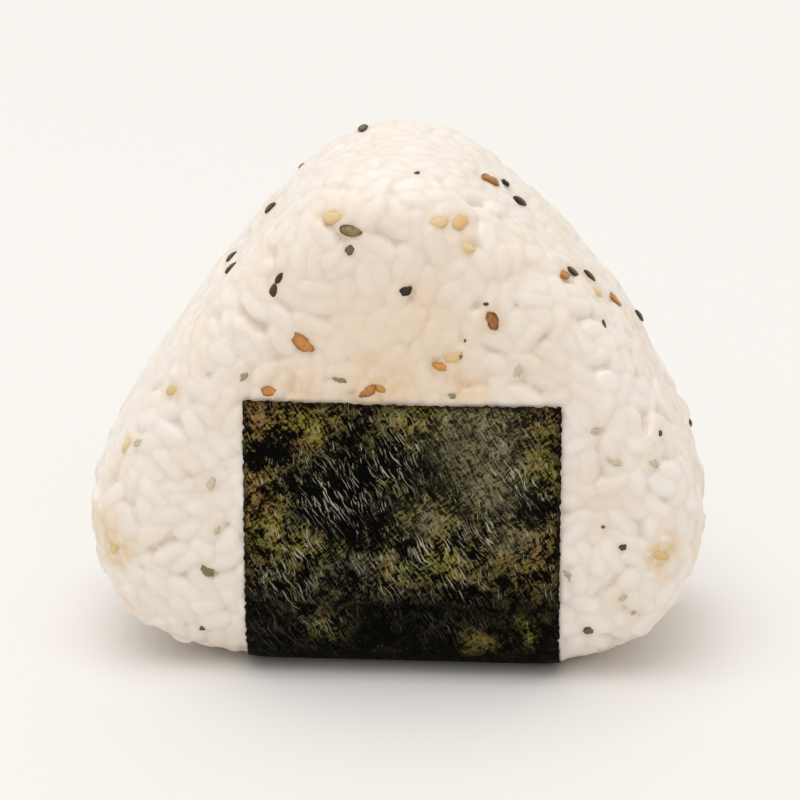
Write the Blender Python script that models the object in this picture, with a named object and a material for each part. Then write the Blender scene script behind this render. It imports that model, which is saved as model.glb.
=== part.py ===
"""Onigiri: a pressed triangular rice ball with a strip of nori wrapped under its base.

The rice stands upright on its base edge, with a triangular face towards -Y. The nori runs up
the front face, under the base and up the back face. The origin is on the underside of the nori,
which the onigiri stands on, below the middle of the triangle. +X is across the triangle and +Z
is up.
"""

import math

import bmesh
import bpy
import numpy as np
from mathutils import Vector, noise

MM = 0.001

# Driving sizes, in millimetres.
RICE_WIDTH = 85.6
RICE_HEIGHT = 72.0
BASE_CORNER_RADIUS = 19.2
TOP_CORNER_RADIUS = 19.2
LEFT_BOW_RADIUS = 215.0  # the left side of the triangle is nearly straight
RIGHT_BOW_RADIUS = 88.0  # and the right side bows out
RIM_HALF_DEPTH = 8.0  # half the depth of the flat band round the triangle
FACE_HALF_DEPTH = 16.4  # half the depth where the rounded shoulder meets the face
SHOULDER_REACH = 8.3  # how far the rounded shoulder reaches in from the rim
SHOULDER_POWER = 2.4
FACE_CROWN = 1.8  # the middle of each face stands this far out
CROWN_BLEND = 3.0
BASE_SQUASH = 0.25  # the base is flattened by the rice's own weight

NORI_WIDTH = 43.0
NORI_OFFSET = 1.4  # the strip isn't quite in the middle
NORI_REACH = 41.0  # how high the strip comes up each face
NORI_THICKNESS = 0.4
NORI_GAP = 0.3  # clearance between the rice and the strip
CREASE_HEIGHT = 11.0  # the sheet buckles here, above the bend round the base
CREASE_STAND = 0.4
CREASE_WIDTH = 1.8
CREASE_WANDER = 1.5
SHEET_UNEVENNESS = 0.2

WAVE_LENGTH = 15.0  # unevenness left by the hands that pressed it
WAVE_DEPTH = 0.6
GRAIN_SPACING = 4.8
GRAIN_RELIEF = 0.7
PRESSED_MARGIN = 2.5  # the rice is pressed smooth this far past the strip's edges

RICE_SUBDIVISIONS = 5
SPREADING_STEPS = 6
NORI_COLUMNS = 18
NORI_ROWS = 60

# Worked out from the sizes above.
RICE_BASE = NORI_GAP + NORI_THICKNESS
RICE_CENTRE = np.array([0.0, 0.0, RICE_BASE + 0.42 * RICE_HEIGHT])
BASE_CORNER = np.array([RICE_WIDTH / 2 - BASE_CORNER_RADIUS, BASE_CORNER_RADIUS])
TOP_CORNER = np.array([0.0, RICE_HEIGHT - TOP_CORNER_RADIUS])


def bow_centre(bow_radius):
    """Centre (x, z) of the arc that joins the base corner to the top corner, on the +X side."""
    to_base = bow_radius - BASE_CORNER_RADIUS
    to_top = bow_radius - TOP_CORNER_RADIUS
    apart = np.linalg.norm(TOP_CORNER - BASE_CORNER)
    towards_top = (TOP_CORNER - BASE_CORNER) / apart
    along = (to_base**2 - to_top**2 + apart**2) / (2 * apart)
    inward = np.array([-towards_top[1], towards_top[0]])
    return BASE_CORNER + along * towards_top + math.sqrt(to_base**2 - along**2) * inward


def angle_from(centre, x, z):
    return np.arctan2(z - centre[1], x - centre[0])


def distance_in_half(across, z, bow_radius):
    """Distance in from the outline of the half of the triangle whose side bows by this radius."""
    centre = bow_centre(bow_radius)
    at_base = angle_from(BASE_CORNER, across, z)
    at_top = angle_from(TOP_CORNER, across, z)
    side = bow_radius - np.hypot(across - centre[0], z - centre[1])
    base_corner = BASE_CORNER_RADIUS - np.hypot(across - BASE_CORNER[0], z - BASE_CORNER[1])
    top_corner = TOP_CORNER_RADIUS - np.hypot(across, z - TOP_CORNER[1])
    by_base_corner = (at_base > -math.pi / 2) & (at_base < angle_from(centre, *BASE_CORNER))
    distance = np.where(by_base_corner, base_corner, np.minimum(side, z))
    return np.where(at_top > angle_from(centre, *TOP_CORNER), top_corner, distance)


def distance_in(x, z):
    """Distance in from the outline of the rounded triangle, below 0 outside it."""
    left = distance_in_half(-x, z, LEFT_BOW_RADIUS)
    right = distance_in_half(x, z, RIGHT_BOW_RADIUS)
    return np.where(x < 0, left, right)


def distances_to_sides(x, z):
    """Distances in from the left side, the right side and the base."""
    left_centre = bow_centre(LEFT_BOW_RADIUS)
    right_centre = bow_centre(RIGHT_BOW_RADIUS)
    left = LEFT_BOW_RADIUS - np.hypot(-x - left_centre[0], z - left_centre[1])
    right = RIGHT_BOW_RADIUS - np.hypot(x - right_centre[0], z - right_centre[1])
    return np.stack([left, right, z])


def half_depth(x, z):
    """Half the rice's depth over the point (x, z) of the triangle."""
    reach = np.clip(distance_in(x, z) / SHOULDER_REACH, 0, 1)
    shoulder = (1 - (1 - reach) ** SHOULDER_POWER) ** (1 / SHOULDER_POWER)
    sides = distances_to_sides(x, z) / CROWN_BLEND
    middle = -CROWN_BLEND * np.log(np.exp(-sides).sum(axis=0)) / (RICE_HEIGHT / 3)
    crown = 1 - (1 - np.clip(middle, 0, 1)) ** 2
    return RIM_HALF_DEPTH + (FACE_HALF_DEPTH - RIM_HALF_DEPTH) * shoulder + FACE_CROWN * crown


def room_inside(points):
    """Above 0 for the points, of shape (n, 3), that lie inside the smooth rice."""
    up = points[:, 2] - RICE_BASE
    squashed = up + BASE_SQUASH
    in_depth = half_depth(points[:, 0], squashed) - np.abs(points[:, 1])
    return np.minimum(np.minimum(distance_in(points[:, 0], squashed), up), in_depth)


def surface_along(origin, directions):
    """Where rays from a point inside the rice leave its smooth surface, found by halving."""
    near = np.zeros(len(directions))
    far = np.full(len(directions), RICE_WIDTH)
    for _ in range(40):
        middle = (near + far) / 2
        within = room_inside(origin + directions * middle[:, None]) > 0
        near = np.where(within, middle, near)
        far = np.where(within, far, middle)
    return origin + directions * near[:, None]


def unit(vectors):
    return vectors / np.linalg.norm(vectors, axis=1)[:, None]


def bare(point):
    """0 on the rice under the strip, rising to 1 past the strip's edges."""
    beside = abs(point.x - NORI_OFFSET) - NORI_WIDTH / 2
    above = point.z - NORI_REACH
    return min(1.0, max(beside, above, 0.0) / PRESSED_MARGIN)


def dent(point):
    """How far the packed grains lie inside the smooth surface at this point."""
    wave = 0.5 + 0.5 * noise.noise(point / WAVE_LENGTH)
    from_grain = min(1.0, noise.voronoi(point / GRAIN_SPACING)[0][0])
    return (WAVE_DEPTH * wave + GRAIN_RELIEF * from_grain) * bare(point)


def material(name, colour, roughness):
    made = bpy.data.materials.new(name)
    made.use_nodes = True
    shader = made.node_tree.nodes["Principled BSDF"]
    shader.inputs["Base Color"].default_value = (*colour, 1)
    shader.inputs["Roughness"].default_value = roughness
    shader.inputs["Metallic"].default_value = 0
    return made


def add_object(name, shape, finish):
    mesh = bpy.data.meshes.new(name)
    shape.to_mesh(mesh)
    shape.free()
    mesh.materials.append(finish)
    mesh.shade_smooth()
    made = bpy.data.objects.new(name, mesh)
    bpy.context.scene.collection.objects.link(made)
    return made


def rice_ball():
    """A sphere drawn out to the pressed triangle, then dented between the grains."""
    shape = bmesh.new()
    bmesh.ops.create_icosphere(shape, subdivisions=RICE_SUBDIVISIONS, radius=1)
    bmesh.ops.scale(shape, verts=shape.verts, vec=(RICE_WIDTH / 2, FACE_HALF_DEPTH, RICE_HEIGHT / 2))
    bmesh.ops.translate(shape, verts=shape.verts, vec=RICE_CENTRE)
    for _ in range(SPREADING_STEPS):
        bmesh.ops.smooth_vert(shape, verts=shape.verts, factor=0.5)
        rays = unit(np.array([vertex.co for vertex in shape.verts]) - RICE_CENTRE)
        for vertex, place in zip(shape.verts, surface_along(RICE_CENTRE, rays)):
            vertex.co = place
    for vertex in shape.verts:
        inward = (Vector(RICE_CENTRE) - vertex.co).normalized()
        vertex.co += inward * dent(vertex.co)
        vertex.co.z = max(vertex.co.z, RICE_BASE)
    bmesh.ops.scale(shape, verts=shape.verts, vec=(MM, MM, MM))
    return add_object("rice_ball", shape, material("rice", (0.86, 0.79, 0.68), 0.5))


def strip_path(x):
    """The strip's inner side over x: evenly spaced (y, z) from its front edge to its back edge."""
    turn = np.radians(np.linspace(-240, 60, 1201))
    rays = np.stack([np.zeros_like(turn), np.cos(turn), np.sin(turn)], axis=1)
    path = surface_along(np.array([x, 0.0, NORI_REACH / 2]), rays)[:, 1:]
    along = unit(np.gradient(path, axis=0))
    path = path + NORI_GAP * np.stack([along[:, 1], -along[:, 0]], axis=1)
    path = path[path[:, 1] < NORI_REACH]
    steps = np.linalg.norm(np.diff(path, axis=0), axis=1)
    length = np.concatenate([[0], np.cumsum(steps)])
    even = np.linspace(0, length[-1], NORI_ROWS + 1)
    return np.stack([np.interp(even, length, path[:, i]) for i in range(2)], axis=1)


def stand_off(x, z):
    """How far the sheet stands off the rice: the crease above the bend, and the grains beneath."""
    wander = CREASE_WANDER * noise.noise(Vector((x, 0, 5)) / WAVE_LENGTH)
    crease = CREASE_STAND * math.exp(-(((z - CREASE_HEIGHT - wander) / CREASE_WIDTH) ** 2))
    grains = SHEET_UNEVENNESS * (0.5 + 0.5 * noise.noise(Vector((x, 0, z)) / GRAIN_SPACING))
    off_the_bend = min(1.0, max(0.0, 2 * z / CREASE_HEIGHT - 1))
    return off_the_bend * (crease + grains)


def nori_strip():
    """A flat grid wrapped round the base of the rice and given the sheet's thickness."""
    shape = bmesh.new()
    bmesh.ops.create_grid(shape, x_segments=NORI_COLUMNS, y_segments=NORI_ROWS, size=0.5)
    places = [NORI_OFFSET + NORI_WIDTH * (i / NORI_COLUMNS - 0.5) for i in range(NORI_COLUMNS + 1)]
    paths = [strip_path(x) for x in places]
    for vertex in shape.verts:
        column = round((vertex.co.x + 0.5) * NORI_COLUMNS)
        row = round((vertex.co.y + 0.5) * NORI_ROWS)
        x = places[column]
        y, z = paths[column][row]
        vertex.co = Vector((x, y + math.copysign(stand_off(x, z), y), z)) * MM
    bmesh.ops.reverse_faces(shape, faces=shape.faces)
    strip = add_object("nori_strip", shape, material("nori", (0.02, 0.025, 0.01), 0.45))
    thickness = strip.modifiers.new("sheet thickness", "SOLIDIFY")
    thickness.thickness = NORI_THICKNESS * MM
    thickness.offset = 1
    thickness.use_even_offset = True
    return strip


for old in list(bpy.data.objects):
    bpy.data.objects.remove(old)
rice_ball()
nori_strip()
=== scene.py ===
import math

import bmesh
import bpy
import numpy as np
from mathutils import Matrix, Vector, noise
from mathutils.bvhtree import BVHTree
from mathutils.kdtree import KDTree


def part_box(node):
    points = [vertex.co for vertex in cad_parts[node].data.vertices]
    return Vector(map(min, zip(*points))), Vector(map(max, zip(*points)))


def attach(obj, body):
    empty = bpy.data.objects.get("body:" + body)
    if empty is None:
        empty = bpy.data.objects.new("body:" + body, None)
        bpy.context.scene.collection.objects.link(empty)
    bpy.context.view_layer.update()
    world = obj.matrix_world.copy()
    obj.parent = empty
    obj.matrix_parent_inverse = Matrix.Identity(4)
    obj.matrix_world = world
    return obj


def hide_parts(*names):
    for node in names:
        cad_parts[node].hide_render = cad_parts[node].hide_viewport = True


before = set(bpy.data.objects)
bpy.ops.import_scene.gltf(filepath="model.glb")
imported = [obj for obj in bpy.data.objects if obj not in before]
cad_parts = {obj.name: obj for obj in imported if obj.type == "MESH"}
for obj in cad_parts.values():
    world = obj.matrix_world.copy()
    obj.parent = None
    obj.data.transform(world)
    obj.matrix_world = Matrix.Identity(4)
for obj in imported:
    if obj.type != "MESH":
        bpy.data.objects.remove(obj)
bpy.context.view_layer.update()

# ---------------------------------------------------------------- rice
# The rice ball is cooked short-grain rice, pressed by hand into one sticky mass. Its grains are
# plump, a little bent, with the notch that the germ left at one end. They lie flat where the
# hands pressed them and stick together where they touch, so the outside is one waxy skin.

MM = 0.001
PRESSED_FACE_STEP = 1.2 * MM  # the size of the faces of the smooth pressed surface
PRESSED_FACE_SMOOTHING = 16
PRESSED_FACE_LIFT = 0.45 * MM  # the frame's rice is dented by this much on average
LOOSE_FACE_DROP = 0.45 * MM  # how much less at the two ends low down, where grains stand out
LOOSE_ENDS = (24 * MM, 32 * MM)  # from no drop at this far out to the whole drop
LOOSE_HEIGHTS = (42 * MM, 12 * MM)  # from pressed hard at this height to loose
LOOSE_DEPTHS = (17 * MM, 11 * MM)  # from pressed hard at this far from the middle to loose
RESTING_HEIGHT = 0.3 * MM  # nothing of the rice goes lower than this
CORE_DEPTH = 0.75 * MM
CORE_RELIEF = 0.5 * MM
CORE_RELIEF_SPACING = 3.6 * MM
GRAIN_LENGTH = 5.9 * MM
GRAIN_WIDTH = 3.15 * MM
GRAIN_THICKNESS = 2.8 * MM
GRAIN_SIZE_SPREAD = 0.09
GRAIN_KINDS = 12
GRAIN_SEGMENTS = 10
GRAIN_RINGS = 8
GRAIN_FULLNESS = 0.3  # how much plumper than an egg shape
GRAIN_COVER = 1.25  # area of the grains lying on the surface, for each area of surface
GRAIN_TILT = 0.28  # radians
STEEPEST_GRAIN = 0.5
GRAIN_DEPTH = 0.85 * MM
GRAIN_STAND = 0.12 * MM  # how unevenly the grains stand after pressing
GRAIN_PRESSING = 0.36 * MM
HAND_UNEVENNESS = 0.25 * MM
HAND_UNEVENNESS_SPACING = 11 * MM
PACKING_STEPS = 72
PACKING_REACH = 0.90  # neighbours press into each other by the rest of their width
NEIGHBOUR_STEPS = 8
HIDDEN_MARGIN = 5 * MM  # grains further than this under the nori can't be seen
LOOSE_GRAINS = 40  # at most
LOOSE_SINK = 0.9 * MM  # how far the middle of a loose grain is under the pressed face
LOWEST_LOOSE_GRAIN = 5 * MM
CLEAR_OF_NORI = 2 * MM
SKIN_STEP = 0.49 * MM
GROOVE_DEPTH = 0.07 * MM
GROOVE_WIDTH = 1.1 * MM
UNDER_NORI = 0.3 * MM  # the nori presses the rice this much below its outer face
SUNK_SHADE_DEPTH = 1.6 * MM  # rice this far down gets the darkest painted shade
WARM_WIDTH = 17 * MM
WARM_HEIGHT = 46 * MM
WARM_MIDDLE = 0.68  # how strongly the middle of each face is coloured
WARM_DRIFT = 0.25  # how strongly it drifts over the rest
WARM_DRIFT_SPACING = 8 * MM

random_rice = np.random.default_rng(5)
nori_low, nori_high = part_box("nori_strip")


def new_piece(name, shape, finish):
    """An object made of this bmesh, which is in its place in the frame, with one finish."""
    mesh = bpy.data.meshes.new(name)
    shape.to_mesh(mesh)
    shape.free()
    mesh.materials.append(finish)
    mesh.shade_smooth()
    piece = bpy.data.objects.new(name, mesh)
    bpy.context.scene.collection.objects.link(piece)
    return piece


def one_skin(shape, step, smoothing=0):
    """A bmesh of the one closed skin round all of the shape's bodies, of faces of this size."""
    draft = new_piece("draft", shape, None)
    fuse = draft.modifiers.new("one skin", "REMESH")
    fuse.mode = "VOXEL"
    fuse.voxel_size = step
    soften = draft.modifiers.new("soften", "SMOOTH")
    soften.factor = 0.5
    soften.iterations = smoothing
    bpy.context.view_layer.update()
    evaluated = draft.evaluated_get(bpy.context.evaluated_depsgraph_get())
    skin = bmesh.new()
    skin.from_mesh(bpy.data.meshes.new_from_object(evaluated))
    bpy.data.objects.remove(draft)
    skin.normal_update()
    return skin


def ramp(value, low, high):
    """0 at low and beyond, 1 at high and beyond, smooth in between."""
    share = min(1.0, max(0.0, (value - low) / (high - low)))
    return share * share * (3 - 2 * share)


def looseness(place):
    """0 where the hands pressed hard, on the faces and high up, to 1 round the low corners."""
    return ramp(place.z, *LOOSE_HEIGHTS) * ramp(abs(place.y), *LOOSE_DEPTHS)


def pressed_shape():
    """The rice ball's outer face as the hands pressed it, without the dents between its grains."""
    shape = bmesh.new()
    shape.from_mesh(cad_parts["rice_ball"].data)
    bmesh.ops.remove_doubles(shape, verts=shape.verts, dist=0.001 * MM)
    shape = one_skin(shape, PRESSED_FACE_STEP, PRESSED_FACE_SMOOTHING)
    for vertex in shape.verts:
        at_end = ramp(abs(vertex.co.x), *LOOSE_ENDS)
        lift = PRESSED_FACE_LIFT - LOOSE_FACE_DROP * looseness(vertex.co) * at_end
        vertex.co += vertex.normal * lift
        vertex.co.z = max(vertex.co.z, RESTING_HEIGHT)
    shape.normal_update()
    return shape


pressed = pressed_shape()
pressed_face = BVHTree.FromBMesh(pressed)


def unit(vectors):
    return vectors / np.linalg.norm(vectors, axis=-1, keepdims=True)


def scattered_on(shape, count, random):
    """Random places on the shape's faces, evenly by area."""
    bmesh.ops.triangulate(shape, faces=shape.faces)
    areas = np.array([face.calc_area() for face in shape.faces])
    corners = np.array([[vertex.co for vertex in face.verts] for face in shape.faces])
    chosen = corners[random.choice(len(areas), count, p=areas / areas.sum())]
    share = random.dirichlet((1, 1, 1), count)
    return (chosen * share[:, :, None]).sum(axis=1)


def lay_on_face(places, axes, depths, slopes):
    """Moves each grain to its depth under the pressed face, and lays it along the face."""
    for i, place in enumerate(places):
        point, normal, _, _ = pressed_face.find_nearest(place)
        places[i] = point - normal * float(depths[i])
        along = Vector(axes[i])
        along -= along.dot(normal) * normal
        axes[i] = (along.normalized() + normal * float(slopes[i])).normalized()


def push_apart(places, axes, sizes, one, other):
    """Moves and turns grains that lie in each other, each one taken as three beads in a row."""
    offsets = (sizes[:, 0] - sizes[:, 1])[:, None] / 2 * np.array([-1, 0, 1])
    beads = places[:, None] + axes[:, None] * offsets[:, :, None]
    pushes = np.zeros_like(beads)
    reach = (sizes[one, 1] + sizes[other, 1]) / 2 * PACKING_REACH
    for i in range(3):
        for j in range(3):
            between = beads[one, i] - beads[other, j]
            distance = np.sqrt((between**2).sum(axis=1))
            push = between * (np.maximum(0, reach - distance) / 2 / distance)[:, None]
            np.add.at(pushes, (one, i), push)
            np.add.at(pushes, (other, j), -push)
    places += pushes.mean(axis=1)
    turning = (pushes[:, 2] - pushes[:, 0]) / (sizes[:, 0] - sizes[:, 1])[:, None]
    axes += 0.5 * turning


def neighbours(places):
    """The pairs of grains near enough to touch within a few steps."""
    squares = (places**2).sum(axis=1)
    apart = squares[:, None] + squares[None] - 2 * places @ places.T
    return np.nonzero(np.triu(apart < (GRAIN_LENGTH * 1.5) ** 2, 1))


def packed_grains():
    """(places, axes, sizes) of grains that fill the pressed face."""
    area = sum(face.calc_area() for face in pressed.faces)
    count = int(area * GRAIN_COVER / (GRAIN_LENGTH * GRAIN_WIDTH * math.pi / 4))
    usual = np.array([GRAIN_LENGTH, GRAIN_WIDTH, GRAIN_THICKNESS])
    sizes = usual * random_rice.normal(1, GRAIN_SIZE_SPREAD, (count, 3)).clip(0.8, 1.2)
    places = scattered_on(pressed, count, random_rice)
    axes = unit(random_rice.normal(size=(count, 3)))
    slopes = random_rice.normal(0, GRAIN_TILT, count).clip(-STEEPEST_GRAIN, STEEPEST_GRAIN)
    depths = GRAIN_DEPTH * random_rice.normal(1, 0.2, count)
    for step in range(PACKING_STEPS):
        lay_on_face(places, axes, depths, slopes)
        if step % NEIGHBOUR_STEPS == 0:
            one, other = neighbours(places)
        push_apart(places, axes, sizes, one, other)
    lay_on_face(places, axes, depths, slopes)
    return places, axes, sizes


def cooked_grain(random):
    """One cooked grain, of length, width and thickness 1, its long axis along Z."""
    shape = bmesh.new()
    bmesh.ops.create_uvsphere(shape, u_segments=GRAIN_SEGMENTS, v_segments=GRAIN_RINGS, radius=0.5)
    bend = random.uniform(0.02, 0.16)
    notch = random.uniform(0.03, 0.14)
    swell = random.uniform(-0.12, 0.12)
    for vertex in shape.verts:
        x, y, z = vertex.co
        fuller = 1 + (1 - 4 * z * z) * (4 * z * z) * GRAIN_FULLNESS + swell * 2 * z
        vertex.co.x = x * fuller + bend * (1 - 8 * z * z)
        vertex.co.y = y * fuller
        if z > 0.3:
            vertex.co.z -= notch * max(0.0, x) * 2
    mesh = bpy.data.meshes.new("cooked grain")
    shape.to_mesh(mesh)
    shape.free()
    return mesh


def joined(kinds, matrices):
    """One bmesh of copies of these meshes in turn, each moved by its matrix."""
    shape = bmesh.new()
    for i, matrix in enumerate(matrices):
        copy = kinds[i % len(kinds)].copy()
        copy.transform(matrix)
        shape.from_mesh(copy)
        bpy.data.meshes.remove(copy)
    return shape


def under_nori(place, margin):
    """Whether a place is covered by the nori by more than the margin."""
    across = nori_low.x + margin < place[0] < nori_high.x - margin
    return across and place[2] < nori_high.z - margin


def lying(place, axis, turn, size):
    """The matrix that lays a piece of this (length, width, thickness) along the axis."""
    along = Vector(axis).to_track_quat("Z", "X").to_matrix().to_4x4()
    scale = Matrix.Diagonal((size[2], size[1], size[0], 1))
    return Matrix.Translation(place) @ along @ Matrix.Rotation(turn, 4, "Z") @ scale


def pressed_flat(vertex, stand):
    """Moves a grain's point in, where the hands pressed the grain flat."""
    point, normal, _, _ = pressed_face.find_nearest(vertex.co)
    loose = looseness(point)
    level = stand * (1 + loose)
    level += HAND_UNEVENNESS * noise.noise(point / HAND_UNEVENNESS_SPACING)
    soft = GRAIN_PRESSING * (1 - 0.5 * loose)
    height = (vertex.co - point).dot(normal)
    over = height - level + soft
    if over > 0:
        flattened = level - soft * math.exp(-over / soft)
        vertex.co += normal * (flattened - height)


def nearest_grains(beads, owners, place):
    """(grain, how near it is, how much nearer than the next grain) for the grain at this place."""
    found = beads.find_n(place, 12)
    nearest = owners[found[0][1]]
    others = [distance for _, index, distance in found if owners[index] != nearest]
    return nearest, found[0][2], (min(others) if others else GROOVE_WIDTH * 2) - found[0][2]


def warmth(place):
    """How much soy and sesame oil has coloured the rice here: most over the middle of each face."""
    middle = math.exp(-((place.x / WARM_WIDTH) ** 2) - ((place.z - WARM_HEIGHT) / WARM_WIDTH) ** 2)
    drift = ramp(noise.noise(place / WARM_DRIFT_SPACING), -0.2, 0.6)
    return WARM_MIDDLE * middle + WARM_DRIFT * drift


class Finish:
    """A material whose shader nodes are added one by one."""

    def __init__(self, name):
        self.material = bpy.data.materials.new(name)
        self.material.use_nodes = True
        self.tree = self.material.node_tree
        self.shader = self.tree.nodes["Principled BSDF"]

    def join(self, value, socket):
        if isinstance(value, bpy.types.NodeSocket):
            self.tree.links.new(value, socket)
        else:
            socket.default_value = value

    def set(self, **sockets):
        for name, value in sockets.items():
            self.join(value, self.shader.inputs[name.replace("_", " ")])

    def attribute(self, name, output="Fac"):
        node = self.tree.nodes.new("ShaderNodeAttribute")
        node.attribute_name = name
        return node.outputs[output]

    def place(self):
        return self.tree.nodes.new("ShaderNodeTexCoord").outputs["Object"]

    def stretched(self, vector, turn, sizes):
        """The vector turned about Z, then measured in these sizes."""
        node = self.tree.nodes.new("ShaderNodeMapping")
        node.vector_type = "TEXTURE"
        self.join(vector, node.inputs["Vector"])
        node.inputs["Rotation"].default_value = (0, 0, turn)
        node.inputs["Scale"].default_value = sizes
        return node.outputs["Vector"]

    def noise(self, vector, size, detail=2.0, output="Fac", roughness=0.5):
        node = self.tree.nodes.new("ShaderNodeTexNoise")
        self.join(vector, node.inputs["Vector"])
        node.inputs["Scale"].default_value = 1 / size
        node.inputs["Detail"].default_value = detail
        node.inputs["Roughness"].default_value = roughness
        return node.outputs[output]

    def between(self, value, low, high, to_low=0.0, to_high=1.0):
        """The value's range low to high, spread smoothly over to_low to to_high."""
        node = self.tree.nodes.new("ShaderNodeMapRange")
        node.interpolation_type = "SMOOTHSTEP"
        self.join(value, node.inputs["Value"])
        for socket, number in zip(node.inputs[1:5], (low, high, to_low, to_high)):
            socket.default_value = number
        return node.outputs["Result"]

    def math(self, operation, first, second):
        node = self.tree.nodes.new("ShaderNodeMath")
        node.operation = operation
        self.join(first, node.inputs[0])
        self.join(second, node.inputs[1])
        return node.outputs["Value"]

    def weighted(self, first, *others):
        """The sum of values, each given with the number it is multiplied by."""
        total = self.math("MULTIPLY", *first)
        for other in others:
            total = self.math("ADD", total, self.math("MULTIPLY", *other))
        return total

    def shifted(self, vector, by, amount):
        """The vector moved by a coloured noise, to bend a pattern laid on it."""
        node = self.tree.nodes.new("ShaderNodeVectorMath")
        node.operation = "MULTIPLY_ADD"
        self.join(by, node.inputs[0])
        node.inputs[1].default_value = (amount,) * 3
        self.join(vector, node.inputs[2])
        return node.outputs["Vector"]

    def mix(self, share, first, second, blend="MIX"):
        node = self.tree.nodes.new("ShaderNodeMix")
        node.data_type = "RGBA"
        node.blend_type = blend
        self.join(share, node.inputs["Factor"])
        self.join(first, node.inputs[6])
        self.join(second, node.inputs[7])
        return node.outputs[2]

    def bump(self, height, distance, strength=1.0):
        node = self.tree.nodes.new("ShaderNodeBump")
        self.join(height, node.inputs["Height"])
        node.inputs["Distance"].default_value = distance
        node.inputs["Strength"].default_value = strength
        return node.outputs["Normal"]


def rice_finish():
    """Warm white cooked rice, milky along each grain's middle, with painted shade, darker and
    yellower, in the grooves between grains and where it lies deep.
    """
    rice = Finish("rice")
    place = rice.place()
    colour = rice.mix(rice.attribute("tone"), (0.865, 0.79, 0.715, 1), (0.895, 0.835, 0.775, 1))
    milky = rice.math("MULTIPLY", rice.attribute("middle"), rice.noise(place, 2.2 * MM, 3))
    colour = rice.mix(rice.between(milky, 0.1, 0.6), colour, (0.925, 0.885, 0.835, 1))
    # painted shade: darker and yellower in the grooves between grains
    groove_and_shade = rice.between(rice.attribute("groove_and_shade"), 0.3, 1.0, 0.0, 0.3)
    colour = rice.mix(groove_and_shade, colour, (0.80, 0.69, 0.57, 1))
    # painted shade: darker and yellower where the rice lies deep below the pressed face
    sunk = rice.between(rice.attribute("sunk"), 0.3, 1.0, 0.0, 0.6)
    colour = rice.mix(sunk, colour, (0.74, 0.62, 0.46, 1))
    colour = rice.mix(rice.attribute("warm"), colour, (0.84, 0.68, 0.50, 1))
    streaky = rice.between(rice.noise(place, 1.4 * MM, 3), 0.2, 0.6)
    stained = rice.math("MULTIPLY", rice.attribute("stain"), streaky)
    colour = rice.mix(stained, colour, (0.76, 0.55, 0.30, 1))
    rice.set(
        Base_Color=colour,
        Roughness=rice.between(rice.noise(place, 0.9 * MM, 2), 0.3, 0.7, 0.34, 0.52),
        Subsurface_Weight=0.7,
        Subsurface_Radius=(1.0, 0.8, 0.6),
        Subsurface_Scale=0.9 * MM,
        Normal=rice.bump(rice.noise(place, 0.7 * MM, 3), 0.06 * MM),
    )
    return rice.material


def write_attribute(piece, name, values, kind="FLOAT"):
    """Stores one value for each of the piece's points, for its finish to read."""
    layer = piece.data.attributes.new(name, kind, "POINT")
    layer.data.foreach_set("value" if kind == "FLOAT" else "vector", np.ravel(values))


places, axes, sizes = packed_grains()
turns = random_rice.uniform(0, 2 * math.pi, len(places))
tones = random_rice.uniform(0, 1, len(places))
stands = random_rice.normal(0, GRAIN_STAND, len(places))
shown = [i for i, place in enumerate(places) if not under_nori(place, HIDDEN_MARGIN)]
kinds = [cooked_grain(random_rice) for _ in range(GRAIN_KINDS)]
grains = joined(kinds, [lying(places[i], axes[i], turns[i], sizes[i]) for i in shown])
grain_points = len(kinds[0].vertices)
for i, vertex in enumerate(grains.verts):
    pressed_flat(vertex, float(stands[shown[i // grain_points]]))

# A few grains round the low corners were never pressed flat, and stand out whole.
random_loose = np.random.default_rng(11)
loose_matrices = []
for place in scattered_on(pressed, LOOSE_GRAINS * 12, random_loose):
    point, normal, _, _ = pressed_face.find_nearest(place)
    wanted = looseness(point) > random_loose.uniform(0.2, 0.9) and point.z > LOWEST_LOOSE_GRAIN
    if wanted and not under_nori(point, -CLEAR_OF_NORI) and len(loose_matrices) < LOOSE_GRAINS:
        size = np.array([GRAIN_LENGTH, GRAIN_WIDTH, GRAIN_THICKNESS])
        size = size * random_loose.uniform(0.85, 1.0)
        along = normal.cross(Vector(random_loose.normal(size=3))).normalized()
        middle = point - normal * LOOSE_SINK
        loose_matrices.append(lying(middle, along, random_loose.uniform(0, 6), size))
        places = np.vstack([places, middle])
        axes = np.vstack([axes, along])
        sizes = np.vstack([sizes, size])
        tones = np.append(tones, random_loose.uniform(0, 1))
loose = bpy.data.meshes.new("loose grains")
joined(kinds, loose_matrices).to_mesh(loose)
grains.from_mesh(loose)

# The rice below the outer grains closes the gaps between them, a little deeper in.
core = pressed.copy()
for vertex in core.verts:
    relief = noise.voronoi(vertex.co / CORE_RELIEF_SPACING)[0][0]
    vertex.co -= vertex.normal * (CORE_DEPTH + CORE_RELIEF * min(1.0, relief))
core_mesh = bpy.data.meshes.new("core")
core.to_mesh(core_mesh)
grains.from_mesh(core_mesh)
skin = one_skin(grains, SKIN_STEP)

BEADS = np.linspace(-1, 1, 5)
bead_tree = KDTree(len(places) * len(BEADS))
for i, (place, axis, size) in enumerate(zip(places, axes, sizes)):
    for j, share in enumerate(BEADS):
        bead_tree.insert(place + axis * share * (size[0] - size[1]) / 2, i * len(BEADS) + j)
bead_tree.balance()
owners = np.repeat(np.arange(len(places)), len(BEADS))

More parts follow.
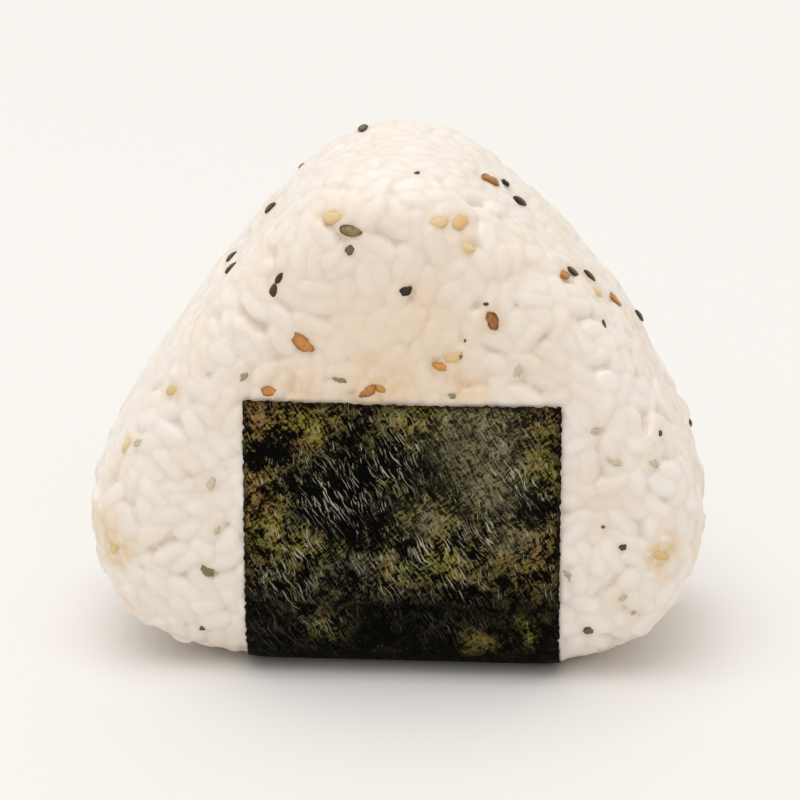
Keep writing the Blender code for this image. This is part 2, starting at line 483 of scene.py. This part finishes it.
skin_values = {"tone": [], "middle": [], "groove_and_shade": [], "sunk": [], "warm": []}
for vertex in skin.verts:
    grain, distance, nearer = nearest_grains(bead_tree, owners, vertex.co)
    # how near a groove between grains is: the skin is dented there, and the finish paints shade in
    # it
    groove_and_shade = max(0.0, 1 - nearer / GROOVE_WIDTH)
    vertex.co -= vertex.normal * GROOVE_DEPTH * groove_and_shade**2
    point, normal, _, _ = pressed_face.find_nearest(vertex.co)
    height = (vertex.co - point).dot(normal)
    if under_nori(point, 0) and height > -UNDER_NORI:
        vertex.co -= normal * (height + UNDER_NORI)
    vertex.co.z = max(vertex.co.z, RESTING_HEIGHT)
    skin_values["tone"].append(tones[grain])
    skin_values["middle"].append(max(0.0, 1 - distance / (GRAIN_WIDTH / 2)))
    skin_values["groove_and_shade"].append(groove_and_shade)
    # how deep the rice lies below the pressed face, for the painted shade in its recesses
    skin_values["sunk"].append(min(1.0, max(0.0, -height / SUNK_SHADE_DEPTH)))
    skin_values["warm"].append(warmth(vertex.co))
pressed_rice = new_piece("pressed_rice", skin, rice_finish())
for name, values in skin_values.items():
    write_attribute(pressed_rice, name, values)
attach(pressed_rice, "root")
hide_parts("rice_ball")

# ---------------------------------------------------------------- nori
# A strip of dried laver, cut straight across and laid dry round the base, up the front and up
# the back. The damp rice draws it down, so it takes up the grains' bumps and puckers into fine
# slanting wrinkles, with a fold just above the bend. Where it is thin, the light comes through.

NORI_THICKNESS = 0.22 * MM
NORI_STEP = 0.42 * MM
NORI_INSIDE = Vector((0, 0, 20 * MM))  # where the strip is looked for from
GRAIN_MARKS = 0.16 * MM
GRAIN_MARK_SPACING = 4.2 * MM
WRINKLE_HEIGHT = 0.3 * MM
WRINKLE_SIZE = (6 * MM, 1.3 * MM)
WRINKLE_SLANT = math.radians(58)
FOLD_HEIGHT = 12.3 * MM
FOLD_WANDER = 1.8 * MM  # how far up and down the fold runs
FOLD_STAND = 1.1 * MM
FOLD_WIDTH = 2.2 * MM
FINE_MARKS = 0.07 * MM
FLAT_HEIGHT = 3 * MM  # below this the sheet is pressed flat by the weight of the rice
EDGE_FRAY = 0.3 * MM
EDGE_FRAY_LENGTH = 0.7 * MM
EDGE_FRAY_REACH = 0.9 * MM
EDGE_FIBRE = 0.7 * MM
SIDE_BLEND = 6 * MM
PATCH_RAGGEDNESS = 2.2 * MM
PATCH_DRIFT_SPACING = 7 * MM
FOOT_SHADE_HEIGHTS = (15.5 * MM, 11 * MM)  # painted shade: from none at this height to the black foot
# Patches on the front, as (across, up, half width, half height) in millimetres.
THIN_PATCHES = (
    (-18, 38, 6, 4), (-10, 37.5, 4, 3), (-17, 23, 5, 5), (-9, 19, 4, 2.5), (-1, 31, 2, 3),
    (1, 18, 4, 3), (4, 24.5, 4, 4), (8.5, 19, 4, 3), (19.5, 33, 3, 8), (18, 20, 4, 4),
    (-10, 9, 3, 3), (19, 8, 2, 2), (3, 38.5, 4, 2.5), (-19.5, 30, 3, 4), (12, 39, 5, 3),
    (12.5, 6, 2.5, 2),
)  # fmt: skip
BROWN_PATCHES = (
    (-19, 39, 5, 3), (-18.5, 27, 4, 4), (20.5, 39, 3, 2.5), (13.5, 21, 4, 3), (-13, 35, 3, 2),
    (20.5, 20, 3, 4),
)  # fmt: skip
# The sheen patches are painted sheen: the colour greyed where the sheet would reflect the light.
SHEEN_PATCHES = ((11.5, 35.5, 5.5, 5.5), (13, 29, 3, 3), (4.5, 24.5, 2.5, 2), (16, 21, 2, 2))
VIOLET_PATCHES = ((16.5, 28.5, 3, 3), (-6, 17, 4, 2), (1.5, 19.5, 2, 1.5), (-6, 27, 5, 4))
# Painted glints: where pale streaks are painted along the creases, as if they caught the light.
GLINTING_PATCHES = (
    (-8, 28, 4, 4), (-15, 12.5, 4, 4), (0, 16, 3.5, 3), (9.5, 15, 3, 2.5), (-0.5, 31, 3, 3),
    (-8, 9, 3, 3), (2, 35, 3, 3), (13, 22, 3, 3), (6, 20, 4, 3), (-13, 20, 3, 3), (17, 30, 2.5, 4),
    (8, 9, 3, 2), (-17, 7, 3, 2),
)  # fmt: skip
DARK_PATCHES = (
    (-4, 26, 6, 5), (-5, 32, 5, 3), (4, 31, 4, 3), (-11, 26, 4, 3), (-17, 33.5, 4, 2.5),
    (19, 27, 3, 2.5), (3, 21, 2.5, 2),
)  # fmt: skip

nori_width = nori_high.x - nori_low.x
nori_columns = round(nori_width / NORI_STEP)
noise.seed_set(8)  # the wrinkles bend the same way each time


def strip_path(x):
    """(y, z) along the rice from the strip's front edge, under the base, to its back edge."""
    path = []
    for degrees in np.linspace(-240, 60, 1201):
        away = Vector((0, math.cos(math.radians(degrees)), math.sin(math.radians(degrees))))
        hit, _, _, _ = pressed_face.ray_cast(Vector((x, 0, NORI_INSIDE.z)), away)
        path.append(hit.yz)
    path = np.array(path)
    path = path[path[:, 1] < nori_high.z]
    steps = np.linalg.norm(np.diff(path, axis=0), axis=1)
    return path, np.concatenate([[0], np.cumsum(steps)])


_, middle_length = strip_path((nori_low.x + nori_high.x) / 2)
nori_length = middle_length[-1]
nori_rows = round(nori_length / NORI_STEP)


def patch(patches, x, y, z, seed, rarity=0.05):
    """How much of a patch there is here: on the front as placed, elsewhere drifting at random."""
    spot = Vector((x / (3 * MM), z / (3 * MM), seed))
    ragged = PATCH_RAGGEDNESS * noise.noise_vector(spot)
    across, up = (x + ragged.x) / MM, (z + ragged.y) / MM
    placed = sum(
        math.exp(-(((across - middle) / half_width) ** 2) - ((up - height) / half_height) ** 2)
        for middle, height, half_width, half_height in patches
    )
    drift = noise.noise(Vector((x, y, z)) / PATCH_DRIFT_SPACING + Vector((seed, 0, 0)))
    drifting = 0.8 * ramp(drift, rarity, rarity + 0.45)
    front = ramp(-y, 0, SIDE_BLEND)
    return front * min(1.0, placed) + (1 - front) * drifting


def wrinkles(across, along):
    """How far the sheet stands off here from being drawn down: ridges that run on a slant."""
    turned = Matrix.Rotation(-WRINKLE_SLANT, 2) @ Vector((across, along))
    spot = Vector((turned.x / WRINKLE_SIZE[0], turned.y / WRINKLE_SIZE[1], 0))
    bend = noise.noise_vector(Vector((across, along, 0)) / (6 * MM))
    ridge = 1 - abs(noise.noise(spot + 0.6 * bend)) * 2.2
    strong = 0.5 + 0.5 * noise.noise(Vector((across, along, 3 * MM)) / (9 * MM))
    return WRINKLE_HEIGHT * max(0.0, ridge) ** 2 * strong


def stand_off(across, along, z):
    """How far the sheet stands off the pressed face at this place."""
    spot = Vector((across, along, 0))
    marks = GRAIN_MARKS * noise.noise(spot / GRAIN_MARK_SPACING)
    wander = FOLD_WANDER * noise.noise(Vector((across / (12 * MM), 4, 0)))
    broken = 0.7 + 0.3 * noise.noise(Vector((across / (5 * MM), 9, 0)))
    above_fold = (z - FOLD_HEIGHT - wander) / FOLD_WIDTH
    # the fold stands off most at its lower side, where it tucks in sharply
    fold = broken * ramp(above_fold, -0.3, 0.1) * math.exp(-max(0.0, above_fold))
    fine = FINE_MARKS * noise.noise(spot / (1.0 * MM))
    lift = marks + wrinkles(across, along) + FOLD_STAND * fold + fine
    return lift * min(1.0, max(0.0, z / FLAT_HEIGHT - 0.3))


def frayed(along_edge, away_from_edge, seed):
    """How far the cut edge is out of line here, for a point this far in from it."""
    rough = noise.noise(Vector((along_edge / EDGE_FRAY_LENGTH, seed, 0)))
    rough += 0.6 * noise.noise(Vector((along_edge / EDGE_FRAY_LENGTH * 2.7, seed, 5)))
    fibre = ramp(noise.noise(Vector((along_edge / (0.9 * MM), seed, 9))), 0.55, 0.75)
    out = EDGE_FRAY * rough + EDGE_FIBRE * fibre
    return out * max(0.0, 1 - away_from_edge / EDGE_FRAY_REACH)


sheet = bmesh.new()
bmesh.ops.create_grid(sheet, x_segments=nori_columns, y_segments=nori_rows, size=0.5)
bmesh.ops.reverse_faces(sheet, faces=sheet.faces)
paths = {}
sheet_places = []
looks = ("thin", "brown", "sheen", "violet", "glinting", "dark", "low", "edge")
sheet_values = {name: [] for name in looks}
for vertex in sheet.verts:
    column, row = vertex.co.x + 0.5, vertex.co.y + 0.5
    key = round(column * nori_columns)
    x = nori_low.x + nori_width * column
    if key not in paths:
        path, length = strip_path(x)
        outward = np.gradient(path, axis=0)
        outward = unit(np.stack([outward[:, 1], -outward[:, 0]], axis=1))
        paths[key] = (path, length, outward)
    path, length, outward = paths[key]
    s = row * length[-1]
    from_end = min(s, length[-1] - s)
    at = s + (-1 if row < 0.5 else 1) * frayed(x, from_end, 1 + round(row))
    y, z, out_y, out_z = (np.interp(at, length, values) for values in (*path.T, *outward.T))
    from_side = min(column, 1 - column) * nori_width
    x += (-1 if column < 0.5 else 1) * frayed(s, from_side, 7 + round(column))
    lift = stand_off(x, s, z)
    # a path ends at its last place, so a point frayed past it goes on along the face
    beyond = max(0.0, -at, at - length[-1])
    vertex.co = (x, y + out_y * lift, z + out_z * lift + beyond)
    vertex.co.z = max(vertex.co.z, NORI_THICKNESS)
    sheet_places.append((x, s, 0.0))
    sheet_values["thin"].append(patch(THIN_PATCHES, x, y, z, 1))
    sheet_values["sheen"].append(patch(SHEEN_PATCHES, x, y, z, 12, 0.2))
    sheet_values["violet"].append(patch(VIOLET_PATCHES, x, y, z, 23))
    sheet_values["glinting"].append(patch(GLINTING_PATCHES, x, y, z, 34))
    sheet_values["brown"].append(patch(BROWN_PATCHES, x, y, z, 31))
    sheet_values["dark"].append(patch(DARK_PATCHES, x, y, z, 47))
    # painted shade at the foot, where the sheet curves under, less under the thin patches
    sheet_values["low"].append(ramp(z, *FOOT_SHADE_HEIGHTS) * (1 - 0.7 * sheet_values["thin"][-1]))
    sheet_values["edge"].append(max(0.0, 1 - min(from_side, from_end) / EDGE_FRAY_REACH))


def nori_finish():
    """Toasted laver: black, olive and brown where it is thin, with a painted sheen of dull
    grey-green where it would shine, painted glints of pale streaks along the creases, and painted
    shade that makes it blacker still at its foot."""
    nori = Finish("nori")
    sheet_place = nori.attribute("sheet", "Vector")
    bent = nori.shifted(sheet_place, nori.noise(sheet_place, 4 * MM, 2, "Color"), 1.6 * MM)
    fine = nori.noise(bent, 0.45 * MM, 3, roughness=0.6)
    crumbs = nori.noise(bent, 1.1 * MM, 4, roughness=0.65)
    slanting = nori.noise(nori.stretched(bent, WRINKLE_SLANT, (2.2, 0.34, 1)), 1 * MM, 2)
    crossing = nori.noise(nori.stretched(bent, -0.7, (1.3, 0.32, 1)), 1 * MM, 2)
    streaks = nori.noise(nori.stretched(bent, WRINKLE_SLANT, (2.4, 0.25, 1)), 1 * MM, 1)
    # what colour the sheet is where light comes through it, patch by patch
    brown = nori.between(nori.noise(bent, 5 * MM, 2), 0.42, 0.62, 0.0, 0.55)
    brown = nori.math("MAXIMUM", brown, nori.attribute("brown"))
    olive = nori.mix(brown, (0.245, 0.24, 0.035, 1), (0.33, 0.185, 0.06, 1))
    through = nori.mix(nori.attribute("thin"), (0.105, 0.083, 0.033, 1), olive)
    through = nori.mix(nori.attribute("violet"), through, (0.065, 0.056, 0.066, 1))
    # painted sheen: greyer where the sheet would reflect the light
    through = nori.mix(nori.attribute("sheen"), through, (0.21, 0.19, 0.115, 1))
    fibres = nori.between(nori.math("MAXIMUM", crossing, fine), 0.45, 0.62, 0.6, 0.0)
    through = nori.mix(fibres, through, (0.045, 0.038, 0.012, 1))
    # how thin the sheet is at each spot: fibres on a slant, others across them, clotted together
    clots = nori.noise(bent, 2.4 * MM, 3, roughness=0.55)
    thread = nori.weighted((slanting, 0.7), (crossing, 0.5), (fine, 0.6), (crumbs, 0.5))
    dark, thin = nori.attribute("dark"), nori.attribute("thin")
    thinness = nori.weighted((thread, 1.25), (clots, 1.1), (dark, -0.22), (thin, 0.13))
    colour = nori.mix(nori.between(thinness, 1.92, 2.27), (0.0014, 0.0012, 0.0008, 1), through)
    # painted sheen: a dull grey-green reflection painted into the colour
    painted_sheen = nori.between(thread, 0.98, 1.28)
    painted_sheen = nori.mix(painted_sheen, (0.026, 0.024, 0.010, 1), (0.25, 0.225, 0.115, 1))
    colour = nori.mix(nori.math("MULTIPLY", nori.attribute("sheen"), 0.75), colour, painted_sheen)
    # painted glints: pale streaks along the creases, where they would catch the light
    pale = nori.math("MULTIPLY", nori.attribute("glinting"), nori.between(streaks, 0.585, 0.67))
    steep_glint = nori.noise(nori.stretched(bent, 1.35, (1.6, 0.22, 1)), 1 * MM, 1)
    steep_glint = nori.between(steep_glint, 0.63, 0.70)
    short = nori.math("MULTIPLY", steep_glint, nori.between(clots, 0.46, 0.56))
    pale = nori.math("MAXIMUM", pale, nori.math("MULTIPLY", short, 0.75))
    colour = nori.mix(nori.math("MULTIPLY", pale, 0.85), colour, (0.52, 0.51, 0.37, 1))
    # painted shade: blacker at the foot, where the sheet curves under
    low = nori.math("MULTIPLY", nori.attribute("low"), 0.85)
    colour = nori.mix(low, colour, (0.0012, 0.0013, 0.0009, 1))
    edge = nori.math("MULTIPLY", nori.attribute("edge"), 0.7)
    colour = nori.mix(edge, colour, (0.012, 0.005, 0.003, 1))
    height = nori.weighted((thinness, 1.0), (streaks, 0.6))
    nori.set(
        Base_Color=colour,
        Roughness=nori.between(crumbs, 0.3, 0.7, 0.34, 0.6),
        Specular_IOR_Level=0.03,
        Normal=nori.bump(height, 0.5 * MM, 0.9),
    )
    return nori.material


nori_sheet = new_piece("nori_sheet", sheet, nori_finish())
write_attribute(nori_sheet, "sheet", sheet_places, "FLOAT_VECTOR")
for name, values in sheet_values.items():
    write_attribute(nori_sheet, name, values)
thickness = nori_sheet.modifiers.new("sheet thickness", "SOLIDIFY")
thickness.thickness = NORI_THICKNESS
thickness.offset = 1
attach(nori_sheet, "root")
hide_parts("nori_strip")

# ---------------------------------------------------------------- seasoning
# Furikake mixed through the rice: black and golden sesame, bits of roasted egg and fish, flecks
# of green laver and dark specks. Each bit is pressed into the face as far as its middle or a
# little more, and has coloured the rice round it. Those on the front have their own places.

# (across, out, up) in millimetres, degrees up from level, length in millimetres, how pale
BLACK_SESAME = (
    (-5.5, -17, 65, -8, 3.2, 1.0), (-16, -16, 56, 78, 2.3, 0.1), (-15.2, -16, 57.8, 60, 1.8, 0.0),
    (-18.5, 2, 62, 55, 2.8, 0.3), (-23, 1, 54.5, 55, 2.9, 0.2), (-22.5, -5, 55, 68, 2.6, 0.3),
    (-5.5, 8, 71, 12, 2.8, 0.5), (18, 0, 65.5, -48, 3.0, 0.1), (24, -7, 56, -60, 2.8, 0.5),
    (26, -2, 54, -65, 2.7, 0.4), (32.5, 8, 44.5, -60, 2.6, 0.4), (28, -10.5, 50, 40, 2.0, 0.1),
)  # fmt: skip
GOLDEN_SESAME = (
    (-8.5, -17, 67, 20, 3.0, 0.6), (10, -17, 67, 25, 3.4, 0.2), (6.5, -17, 66.6, 8, 2.6, 0.7),
    (-30.5, -15, 41, 30, 2.5, 0.3), (8.5, -17, 47.5, 35, 2.6, 0.4), (-36.5, -13, 32, 60, 2.4, 0.8),
    (10.5, -17, 63, -30, 2.2, 0.9), (27, -4, 52, -60, 3.0, 0.6), (-38.5, -16, 18, 75, 2.8, 0.5),
    (37, -17, 19, -25, 2.6, 0.3),
)  # fmt: skip
ROASTED_BITS = (
    (-12, -18, 49, -42, 3.4, 0.5), (13.5, -18, 53, -75, 2.9, 0.0), (-3.2, -18, 42.6, 35, 2.5, 0.3),
    (-1.4, -18, 42.9, -30, 1.9, 0.6), (-16.5, -18, 42.3, 5, 2.2, 0.5),
    (14, -2, 69.5, -52, 3.6, 0.3), (22.5, -9.5, 57, -35, 2.8, 0.6), (6.6, -18, 46.3, -20, 2.2, 0.8),
    (29.5, 2, 49, -62, 3.0, 0.5),
)  # fmt: skip
LAVER_FLECKS = (
    (-25.5, -18, 15.8, 100, 2.7, 0.1), (-20, -17, 44, 40, 1.6, 0.4), (-7, -18, 44, -15, 1.6, 0.2),
    (8.8, -18, 47.6, 50, 1.8, 0.0), (17, -17, 46, 75, 1.9, 0.9), (-24.5, -17, 28.5, 70, 2.0, 1.0),
    (30, -17, 33, -30, 1.9, 1.0), (27, -17, 37, 20, 1.6, 0.9), (-36, -15, 33.5, 35, 1.6, 0.9),
    (-24, -17, 22, 60, 1.5, 0.9), (31, -17, 13, 15, 1.6, 0.9), (8, -17, 42.8, -50, 1.6, 0.3),
    (24, -17, 16, -40, 2.0, 0.6), (35, -15, 32, -40, 1.8, 0.9), (33, -15, 11, 60, 1.4, 0.7),
)  # fmt: skip
DARK_SPECKS = (
    (2, -18, 57, 20, 1.7, 0.0), (-5.5, -17, 62.4, 60, 1.5, 1.0), (3, -11, 71.5, 0, 0.8, 0.5),
    (36, -13, 35.5, 45, 0.9, 0.4), (31.5, -18, 20.5, 30, 1.1, 0.4), (27, -17, 8, 0, 1.6, 0.9),
    (12.6, -17, 55.2, 0, 0.7, 0.3), (-26, -16, 7, 50, 1.1, 0.6), (16, 2, 67.5, -50, 1.4, 0.1),
    (28.5, -16, 23.5, 0, 0.6, 1.0), (-7, -17, 34, 10, 0.8, 0.5), (10, -17, 50, 60, 0.5, 1.0),
)  # fmt: skip
TO_THE_FRONT = Vector((0.06, -0.92, 0.40))  # what faces this way holds only its own bits
LOWEST_SEASONING = 7 * MM
STAIN_REACH = 2.6 * MM
STAIN_RAGGEDNESS = 2.5 * MM
STAIN_RAGGEDNESS_SPACING = 3.5 * MM
# (across, out, up, reach) in millimetres, and how strong: where oil and juice have run further
BROAD_STAINS = (
    ((-39, -13, 20, 7), 0.55), ((-38, -12, 28, 6), 0.3), ((27, -3, 54, 8), 0.45),
    ((33, 2, 45, 7), 0.35), ((41, -2, 30, 8), 0.4), ((41, 2, 20, 7), 0.3),
    ((9, -17, 66, 4.5), 0.35), ((-8.5, -17, 66, 4), 0.3), ((-2, -18, 43, 7), 0.65),
    ((9, -18, 43, 6), 0.5), ((-13, -18, 42.5, 6), 0.5), ((30, 10, 40, 8), 0.35),
    ((-20, 15, 40, 8), 0.35), ((8, 17, 55, 7), 0.3), ((37, -17, 19, 4.5), 0.9),
    ((-38.5, -15, 19, 5.5), 0.9),
)  # fmt: skip

random_bits = np.random.default_rng(23)
skin_face = BVHTree.FromObject(pressed_rice, bpy.context.evaluated_depsgraph_get())


def bit_shape(name, points_to_tip, unevenness, seed, segments=12, rings=8):
    """One bit of length, width and thickness 1, along Z, its thickness along X."""
    shape = bmesh.new()
    bmesh.ops.create_uvsphere(shape, u_segments=segments, v_segments=rings, radius=0.5)
    for vertex in shape.verts:
        uneven = 1 + unevenness * noise.noise(vertex.co * 3 + Vector((seed, 0, 0)))
        narrowing = 1 - points_to_tip * (vertex.co.z + 0.5) ** 2
        vertex.co = Vector((vertex.co.x * narrowing, vertex.co.y * narrowing, vertex.co.z)) * uneven
    mesh = bpy.data.meshes.new(name)
    shape.to_mesh(mesh)
    shape.free()
    return mesh


def set_in(spot, width, thickness, sink):
    """The matrix that lays a bit on the rice here, sunk in by this share of its thickness."""
    across, out, up, degrees, length, _ = spot
    point, _, _, _ = skin_face.find_nearest(Vector((across, out, up)) * MM)
    _, normal, _, _ = pressed_face.find_nearest(point)
    level = Vector((0, 0, 1)).cross(normal).normalized()
    turn = math.radians(degrees)
    along = level * math.cos(turn) + normal.cross(level) * math.sin(turn)
    turned = Matrix((normal, along.cross(normal), along)).transposed().to_4x4()
    size = Matrix.Diagonal((length * thickness * MM, length * width * MM, length * MM, 1))
    stand = normal * length * thickness * (0.5 - sink) * MM
    return Matrix.Translation(point + stand) @ turned @ size


def scattered_spots(count, low_length, high_length):
    """Random spots on the faces that the front's own places leave free."""
    spots = []
    for place in scattered_on(pressed, count * 6, random_bits):
        _, normal, _, _ = pressed_face.find_nearest(place)
        on_front = normal.dot(TO_THE_FRONT) > -0.08
        taken = on_front or under_nori(place, -1 * MM) or place[2] < LOWEST_SEASONING
        if len(spots) < count and not taken:
            length = random_bits.uniform(low_length, high_length)
            degrees = random_bits.uniform(0, 180)
            spots.append((*(place / MM), degrees, length, random_bits.uniform(0, 0.9)))
    return spots


stains = []


def season(name, spots, more, lengths, width, thickness, sink, tip, unevenness, finish, stain):
    """A piece of all the bits of one kind. Width and thickness are shares of a bit's length."""
    spots = [*spots, *scattered_spots(more, *lengths)]
    shapes = [bit_shape(name, tip, unevenness, 10 * i) for i in range(4)]
    matrices = []
    for spot in spots:
        own_width = width * random_bits.uniform(0.9, 1.1)
        own_sink = sink + random_bits.uniform(-0.1, 0.1)
        matrices.append(set_in(spot, own_width, thickness, own_sink))
    bits = joined(shapes, matrices)
    bmesh.ops.recalc_face_normals(bits, faces=bits.faces)
    piece = new_piece(name, bits, finish)
    from_middle = [2.1 * math.hypot(v.co.y, v.co.z * 0.9) for v in shapes[0].vertices]
    middles = [max(0.0, 1 - distance**2) for distance in from_middle]
    write_attribute(piece, "middle", middles * len(spots))
    write_attribute(piece, "tone", np.repeat([spot[-1] for spot in spots], len(middles)))
    stains.extend((matrix.translation, stain) for matrix in matrices)
    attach(piece, "root")


def bit_finish(name, dark_bit, pale_bit, roughness=0.45):
    """A seed or bit, from the rim and middle colours of the darkest and of the palest one."""
    bit = Finish(name)
    place = bit.place()
    rim = bit.mix(bit.attribute("tone"), (*dark_bit[0], 1), (*pale_bit[0], 1))
    inner = bit.mix(bit.attribute("tone"), (*dark_bit[1], 1), (*pale_bit[1], 1))
    mottled = bit.between(bit.noise(place, 0.5 * MM, 3), 0.35, 0.65, 0.6, 1.0)
    share = bit.math("MULTIPLY", bit.between(bit.attribute("middle"), 0.0, 0.7), mottled)
    bit.set(
        Base_Color=bit.mix(share, rim, inner),
        Roughness=roughness,
        Specular_IOR_Level=0.35,
        Subsurface_Weight=0.1,
        Subsurface_Scale=0.4 * MM,
        Normal=bit.bump(bit.noise(place, 0.35 * MM, 3), 0.08 * MM),
    )
    return bit.material


black_skin = bit_finish(
    "black sesame",
    dark_bit=((0.014, 0.009, 0.004), (0.05, 0.035, 0.016)),
    pale_bit=((0.05, 0.028, 0.010), (0.33, 0.24, 0.105)),
)
season(
    "black_sesame", BLACK_SESAME, more=14, lengths=(2.6, 3.3), width=0.58, thickness=0.32,
    sink=0.45, tip=0.45, unevenness=0.08, finish=black_skin, stain=0.3,
)  # fmt: skip
golden_skin = bit_finish(
    "golden sesame",
    dark_bit=((0.68, 0.42, 0.18), (0.72, 0.46, 0.18)),
    pale_bit=((0.80, 0.66, 0.40), (0.82, 0.67, 0.35)),
)
season(
    "golden_sesame", GOLDEN_SESAME, more=12, lengths=(2.6, 3.3), width=0.62, thickness=0.34,
    sink=0.68, tip=0.45, unevenness=0.12, finish=golden_skin, stain=0.85,
)  # fmt: skip
roasted = bit_finish(
    "roasted bits",
    dark_bit=((0.15, 0.045, 0.008), (0.42, 0.17, 0.05)),
    pale_bit=((0.62, 0.28, 0.07), (0.78, 0.36, 0.09)),
    roughness=0.4,
)
season(
    "roasted_bits", ROASTED_BITS, more=13, lengths=(1.8, 3.0), width=0.6, thickness=0.36,
    sink=0.6, tip=0.15, unevenness=0.4, finish=roasted, stain=0.8,
)  # fmt: skip
green_laver = bit_finish(
    "laver flecks",
    dark_bit=((0.23, 0.185, 0.09), (0.14, 0.12, 0.05)),
    pale_bit=((0.72, 0.65, 0.50), (0.60, 0.55, 0.38)),
    roughness=0.5,
)
season(
    "laver_flecks", LAVER_FLECKS, more=18, lengths=(1.0, 2.0), width=0.55, thickness=0.14,
    sink=0.55, tip=0.1, unevenness=0.7, finish=green_laver, stain=0.3,
)  # fmt: skip
burnt = bit_finish(
    "dark specks",
    dark_bit=((0.014, 0.007, 0.003), (0.035, 0.018, 0.009)),
    pale_bit=((0.07, 0.055, 0.03), (0.20, 0.15, 0.085)),
    roughness=0.5,
)
season(
    "dark_specks", DARK_SPECKS, more=12, lengths=(0.7, 1.6), width=0.8, thickness=0.5,
    sink=0.55, tip=0.1, unevenness=0.4, finish=burnt, stain=0.25,
)  # fmt: skip

stain_tree = KDTree(len(stains))
for i, (place, _) in enumerate(stains):
    stain_tree.insert(place, i)
stain_tree.balance()
stained = []
for vertex in pressed_rice.data.vertices:
    near = stain_tree.find_range(vertex.co, STAIN_REACH)
    amounts = [stains[i][1] * ramp(distance, STAIN_REACH, 0) for _, i, distance in near]
    for (*spot, reach), strength in BROAD_STAINS:
        ragged = STAIN_RAGGEDNESS * noise.noise(vertex.co / STAIN_RAGGEDNESS_SPACING)
        distance = (vertex.co - Vector(spot) * MM).length + ragged
        amounts.append(strength * ramp(distance, reach * MM, 0))
    stained.append(max(amounts))
write_attribute(pressed_rice, "stain", stained)

# ---------------------------------------------------------------- floor, light and camera
# The rice ball stands on a plain pale table top, in the soft light of a studio: one broad light
# overhead, a little to the front, and pale walls all round.

floor_shape = bmesh.new()
bmesh.ops.create_grid(floor_shape, x_segments=1, y_segments=1, size=3)
floor_finish = Finish("pale floor")
floor_finish.set(Base_Color=(0.855, 0.83, 0.795, 1), Roughness=0.9, Specular_IOR_Level=0.1)
floor = new_piece("floor", floor_shape, floor_finish.material)


lamp = bpy.data.lights.new("overhead", "AREA")
lamp.size = 1.8
lamp.energy = 21
lamp.color = (0.94, 0.97, 1.0)
light = bpy.data.objects.new("overhead", lamp)
light.location = (-0.24, -0.24, 2.0)
lit_spot = Vector((0, 0, 0.03))
light.rotation_euler = (lit_spot - light.location).to_track_quat("-Z", "Y").to_euler()
bpy.context.scene.collection.objects.link(light)

world = bpy.data.worlds.new("studio")
world.use_nodes = True
world.node_tree.nodes["Background"].inputs["Color"].default_value = (1, 0.975, 0.95, 1)
world.node_tree.nodes["Background"].inputs["Strength"].default_value = 0.745
bpy.context.scene.world = world
bpy.context.scene.view_settings.view_transform = "Standard"

camera = bpy.data.objects.new("camera", bpy.data.cameras.new("camera"))
camera.location = (0.0403, -0.6456, 0.2831)
aim = Vector((0.0, 0.0, 0.0345))
camera.rotation_euler = (aim - camera.location).to_track_quat("-Z", "Y").to_euler()
camera.data.lens = 225
camera.data.clip_end = 20
bpy.context.scene.collection.objects.link(camera)
bpy.context.scene.camera = camera
